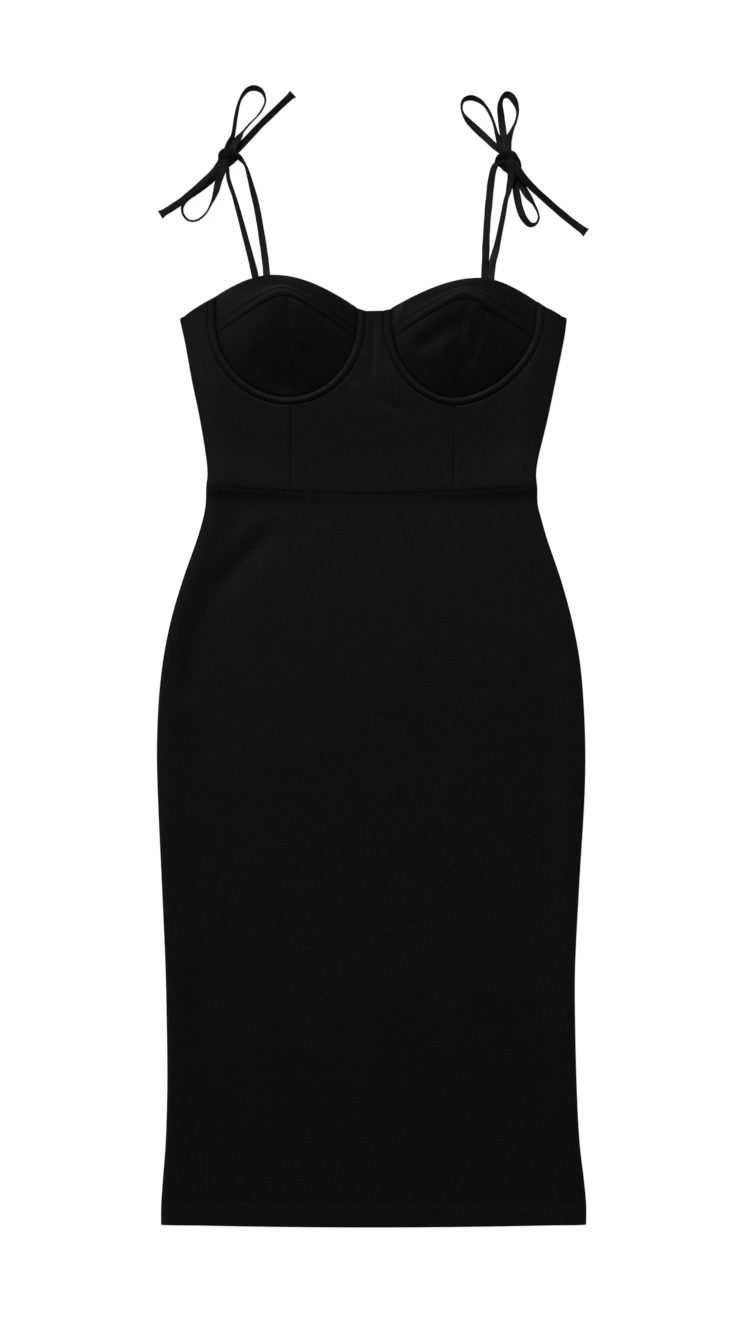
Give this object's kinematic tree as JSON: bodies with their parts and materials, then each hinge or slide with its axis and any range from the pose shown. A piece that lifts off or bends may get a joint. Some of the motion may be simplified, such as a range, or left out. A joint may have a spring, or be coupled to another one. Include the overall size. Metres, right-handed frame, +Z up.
{
  "type": "bodycon dress laid flat",
  "caption": "Fitted midi dress laid flat, with a bustier top of wired cups, a pencil skirt, and narrow tie straps knotted in bows.",
  "frame": {"origin": "under the middle of the dress without its ties, level with the flat underside", "axes": "+Y from the hem to the bust, +X to the right as seen from above, +Z up from the surface it lies on"},
  "size_m": [0.4321, 1.1406, 0.0351],
  "materials": {
    "cloth": "matt black stretch double knit with a fine grain and a faint sheen where it turns away",
    "tie_tape": "black turned tube of the same knit, pressed flat"
  },
  "bodies": {
    "root": {"skirt_front": "cloth", "skirt_back": "cloth", "bodice_back": "cloth", "bodice_centre_front": "cloth", "bodice_side_front_left": "cloth", "bodice_side_front_right": "cloth", "cup_upper_left": "cloth", "cup_upper_right": "cloth", "cup_band_left": "cloth", "cup_band_right": "cloth", "cup_lower_inner_left": "cloth", "cup_lower_inner_right": "cloth", "cup_lower_outer_left": "cloth", "cup_lower_outer_right": "cloth", "cup_channel_left": "cloth", "cup_channel_right": "cloth", "tie_left_front_strap": "tie_tape", "tie_left_back_strap": "tie_tape", "tie_left_upper_loop": "tie_tape", "tie_left_lower_loop": "tie_tape", "tie_left_upper_tail": "tie_tape", "tie_left_lower_tail": "tie_tape", "tie_left_knot": "tie_tape", "tie_right_front_strap": "tie_tape", "tie_right_back_strap": "tie_tape", "tie_right_side_loop": "tie_tape", "tie_right_upper_loop": "tie_tape", "tie_right_lower_loop": "tie_tape", "tie_right_tail": "tie_tape", "tie_right_knot": "tie_tape"}
  },
  "joints": []
}
